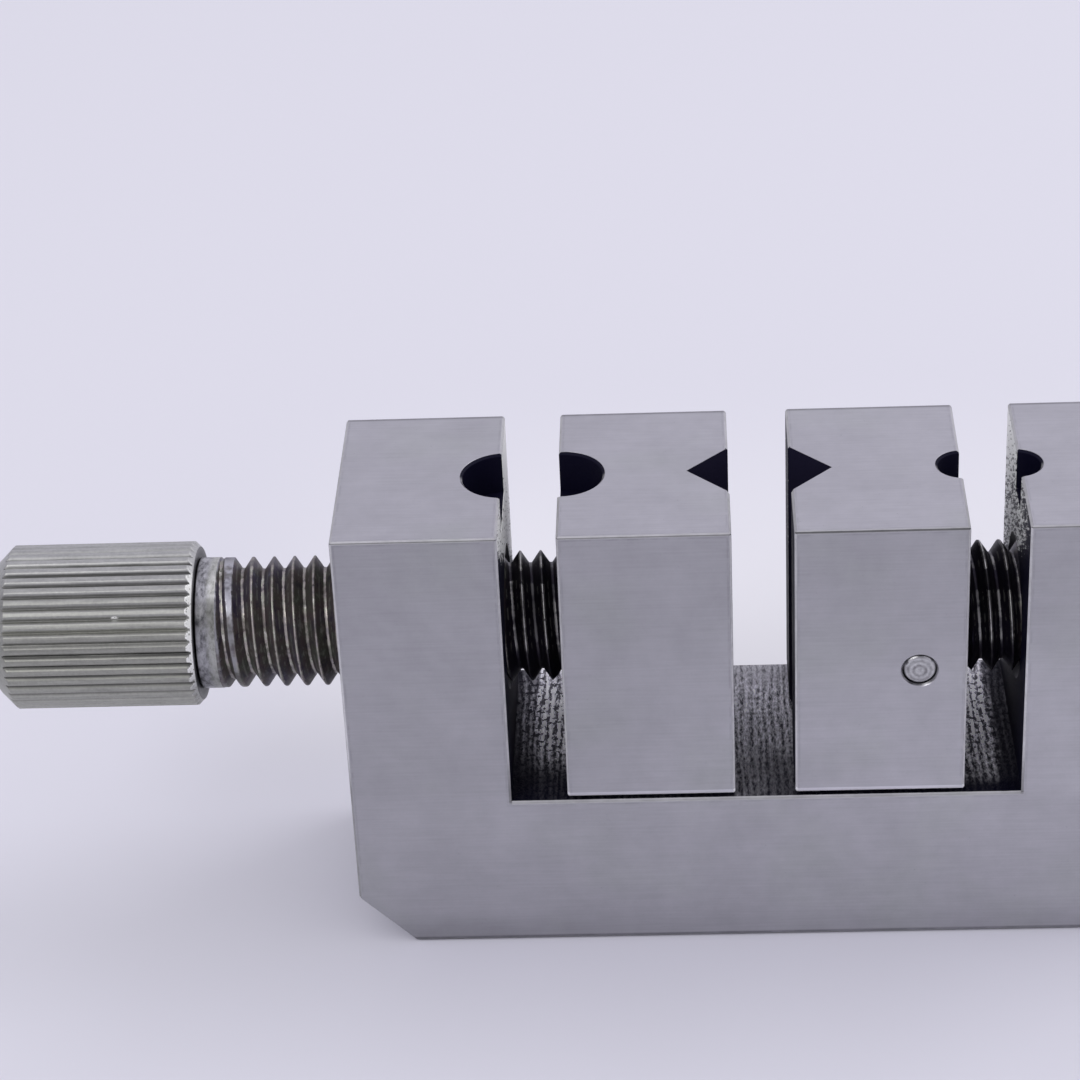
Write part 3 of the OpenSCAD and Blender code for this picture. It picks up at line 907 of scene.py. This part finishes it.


# %% [markdown]
# ## The knobs' steel
#
# The knobs are satin, a touch greener than the block. Fingers keep the crests of
# the ribs clean, while the grooves stay duller and get painted shade. Painted
# highlights make the ribs' ends bright where the chamfer cuts them, and painted
# black shade covers the face behind the neck.

# %% Knob steel: satin ribs, duller grooves, painted highlights on the cut ends
def knob_steel():
    """Satin steel, duller down in the grooves."""
    material, net, shader, place = new_material("knob_steel")
    mul, mul_add, ease = net.mul, net.mul_add, net.ease
    mark = mark_of(net)
    x, y, z = net.split(place)
    far = net.absolute(x)
    radius = net.group(axis_distance, Place=place)["Radius"]
    brushed = net.noise(place, 5.0, 3.0, 0.6, stretch=(0.1, 1.0, 1.0))
    grain = net.noise(place, 5.0, 3.0, 0.6)
    patch = net.noise(place, 0.9, 3.0, 0.6, stretch=(0.3, 1.0, 1.0))
    satin = net.ramp(net.add(mul(brushed, 0.6), mul(grain, 0.4)),
                     [(0.3, (0.33, 0.333, 0.315)), (0.7, (0.5, 0.503, 0.475))])
    # Painted light and shade round the knob: its tone and the darkness of its grooves change with the angle
    # round it
    round_it = net.add(mul_add(patch, 0.06, below_axis(net, place, 0.1)), 0.47)
    groove_shade = net.ramp(round_it, [(0.05, 0.3), (0.14, 0.97), (0.27, 0.9), (0.36, 0.45), (0.44, 0.3),
                                (0.56, 0.08), (0.61, 0.22), (0.67, 0.9), (0.84, 0.85), (0.95, 0.35)])
    painted_tone = net.ramp(round_it, [(0.05, (1.08, 1.08, 1.1)), (0.16, (1.1, 1.1, 1.11)),
                               (0.29, (1.04, 1.04, 1.03)), (0.36, (0.82, 0.82, 0.8)),
                               (0.45, (0.9, 0.9, 0.88)), (0.53, (0.91, 0.91, 0.87)),
                               (0.59, (0.72, 0.72, 0.69)), (0.68, (0.76, 0.76, 0.72)),
                               (0.88, (0.88, 0.88, 0.84)), (1.0, (1.02, 1.02, 0.98))])
    satin = net.tint(satin, painted_tone)
    # The grooves are darker, with painted shade that varies in patches
    groove = mul(ease(mark, 0.12, 0.7), groove_shade)
    groove = mul(groove, ease(patch, 0.3, 0.62, 0.75, 1.0))
    colour = net.blend(groove, satin, (0.065, 0.065, 0.062, 1))
    # Painted highlights on the ribs' ends at the inner chamfer, at the front and towards the top
    nick_glint = mul(ease(far, KNOB_FACE + 0.4, KNOB_FACE + 0.36), ease(far, KNOB_FACE + 0.02, KNOB_FACE + 0.05))
    nick_glint = mul(nick_glint, ease(mark, 0.04, 0.0))
    nick_glint = mul(nick_glint, mul(ease(y, -0.6, -2.4), ease(z, 15.5, 19.5, 0.15, 1.0)))
    # One small bright spot on the left knob
    bright_spot = mul_add(grain, 0.5, net.distance(place, (-38.6, -3.95, 22.05), (1.2, 2.4, 2.4)))
    nick_glint = net.most(nick_glint, ease(bright_spot, 0.62, 0.5))
    colour = net.blend(mul(nick_glint, ease(grain, 0.34, 0.46)), colour, (0.95, 0.95, 0.94, 1))
    # The inner face, dark grey, with painted black shade round the neck
    face = mul(ease(far, KNOB_FACE + 0.02, KNOB_FACE + 0.01), ease(far, 5.0, 6.0))
    painted_shade = net.blend(ease(radius, 4.15, 4.6), (0.006, 0.006, 0.008, 1), (0.12, 0.12, 0.12, 1))
    net.fill(shader, Base_Color=net.blend(face, colour, painted_shade), Roughness=mul_add(brushed, 0.2, 0.32),
             Metallic=mul_add(nick_glint, -0.7, 1.0), Normal=net.bump(0.5, 0.000006, brushed))
    return material


# %% Pin steel: bright turned end
def pin_steel():
    """Turned steel: soft rings by the distance from the pin's axis, and painted shade round the rim, darkest
    at its low side.
    """
    material, net, shader, place = new_material("pin_steel")
    x, _, z = net.split(place)
    wander = net.sub(net.noise(place, 1.3, 3.0, 0.6), 0.5)
    flat = net.node("ShaderNodeCombineXYZ", net.sub(net.absolute(x), PIN_X), 0.0, net.sub(z, PIN_Z))
    radius = net.mul_add(wander, 0.3, net.vector("LENGTH", flat))
    rings = net.math("COSINE", net.mul(radius, 19.0))
    soft = net.noise(place, 2.6, 3.0, 0.6)
    shade = net.add(net.mul(rings, -0.1), net.mul_add(soft, 0.9, 0.02))
    base = net.ramp(shade, [(0.28, (0.24, 0.235, 0.24)), (0.5, (0.44, 0.44, 0.445)), (0.72, 0.62)])
    # Painted shade round the rim, thickest at the low side and broken into dashes elsewhere
    low_side = net.mul_add(wander, 1.5, net.mul_add(z, -0.6, 0.6 * PIN_Z + 0.4))
    broken_shade = net.ease(net.noise(place, 3.2, 2.0, 0.6), 0.47, 0.55, 0.0, 0.75)
    rim = net.mul(net.ease(net.vector("LENGTH", flat), 0.8, 0.9), net.most(low_side, broken_shade))
    net.fill(shader, Base_Color=net.blend(rim, base, (0.03, 0.03, 0.035, 1)),
             Roughness=net.mul_add(soft, 0.2, 0.24), Metallic=1.0)
    return material


# %% Dress the screws, the knobs and the pins
for steel, pieces in ((screw_steel(), (left_thread, right_thread)),
                      (knob_steel(), (left_ribbed, right_ribbed)), (pin_steel(), (left_pin, right_pin))):
    for made in pieces:
        dress(made, steel)
print("materials:", [m.name for m in bpy.data.materials])

# %% [markdown]
# ## Table and light
#
# The vise stands on a wide pale lavender sheet under an even, soft sky. Metal
# shows what is around it, so the sky that it mirrors has the sheet's own colour,
# and it is darker where the camera stands, as any room is. Two soft panels give the
# shadows a direction: one behind on the right, one in front on the left.

# %% A wide flat sheet
steps = np.linspace(-4, 4, 9)
grid = np.stack([*np.meshgrid(steps, steps), np.zeros((9, 9))], -1)
mesh = bpy.data.meshes.new("pale_sheet")
mesh.from_pydata(grid.reshape(-1, 3).tolist(), [], quads_of(9, 9, False).tolist())
sheet = new_object("pale_sheet", mesh)
sheet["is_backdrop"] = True

material, net, shader, place = new_material("pale_sheet")
x, y, _ = net.split(place)
# Painted light on the sheet right behind the vise, where it shows through the gaps
behind = net.mul(net.ease(y, 6.0, 20.0), net.ease(y, 66.0, 20.0))
behind = net.mul(behind, net.ease(net.absolute(x), 42.0, 16.0))
net.fill(shader, Base_Color=net.blend(behind, (0.692, 0.68, 0.788, 1), (0.815, 0.801, 0.885, 1)),
         Roughness=0.9, Specular_IOR_Level=0.2)
dress(sheet, material)
print("sheet", len(mesh.polygons), "faces")

# %% Soft sky
PALE = (0.723, 0.708, 0.815)
world = bpy.data.worlds.new("soft_room")
bpy.context.scene.world = world
world.use_nodes = True
net = Network(world.node_tree)
nodes = world.node_tree.nodes
rays = nodes.new("ShaderNodeLightPath").outputs
toward = nodes.new("ShaderNodeTexCoord").outputs["Generated"]
# The camera's side of the room, seen only in reflections
dim = net.ease(net.vector("DOT_PRODUCT", toward, (0.0, -0.85, 0.53)), 0.72, 0.97, 1.0, 0.72)
right, back, _ = net.split(toward)
dim = net.mul(dim, net.ease(back, 0.2, 0.8, 1.0, 1.13))
dim = net.mul(dim, net.mul_add(right, 0.35, 1.0))
colour = net.blend(rays["Is Glossy Ray"], (0.788, 0.788, 0.788, 1), net.scaled(PALE, dim))
net.fill(nodes["Background"].inputs, Color=net.blend(rays["Is Camera Ray"], colour, (*PALE, 1)))
print("sky", world.name)


# %% Two soft panels
def panel(name, place, size, watts):
    """A square area lamp at a place in metres, aimed at a point 10 mm above the middle of the sheet."""
    data = bpy.data.lights.new(name, "AREA")
    data.size = size
    data.energy = watts
    turn = (Vector(place) - Vector((0, 0, 0.01))).to_track_quat("Z", "Y")
    new_object(name, data).matrix_world = Matrix.Translation(place) @ turn.to_matrix().to_4x4()


panel("back_right_panel", (0.42, 0.18, 0.55), 0.35, 1.03)
panel("front_left_panel", (-0.4, -0.5, 0.6), 0.4, 1.63)

# %% [markdown]
# ## Camera
#
# The photograph was taken from the front, a little left of the middle and from
# above, with a long lens, so the vise hardly narrows to the back. The numbers come
# from fitting a camera to the corners of the block and the jaws.

# %% Camera fitted to the photograph
lens = bpy.data.cameras.new("photo_camera")
lens.sensor_fit = "HORIZONTAL"
lens.sensor_width = 36
lens.lens = 112.848
lens.clip_start = 0.01
lens.clip_end = 20
camera = new_object("photo_camera", lens)
camera.matrix_world = (Matrix.Translation((-0.0043255, -0.1732964, 0.1298631))
                       @ Matrix.Rotation(math.radians(2.91766), 4, "Z")
                       @ Matrix.Rotation(math.radians(58.71944), 4, "X")
                       @ Matrix.Rotation(math.radians(-2.8761), 4, "Z"))
bpy.context.scene.camera = camera
bpy.context.scene.view_settings.view_transform = "Standard"

# %% Measure
low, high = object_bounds()
print("visual box in mm:", [round(1000 * v, 2) for v in (*low, *high)])
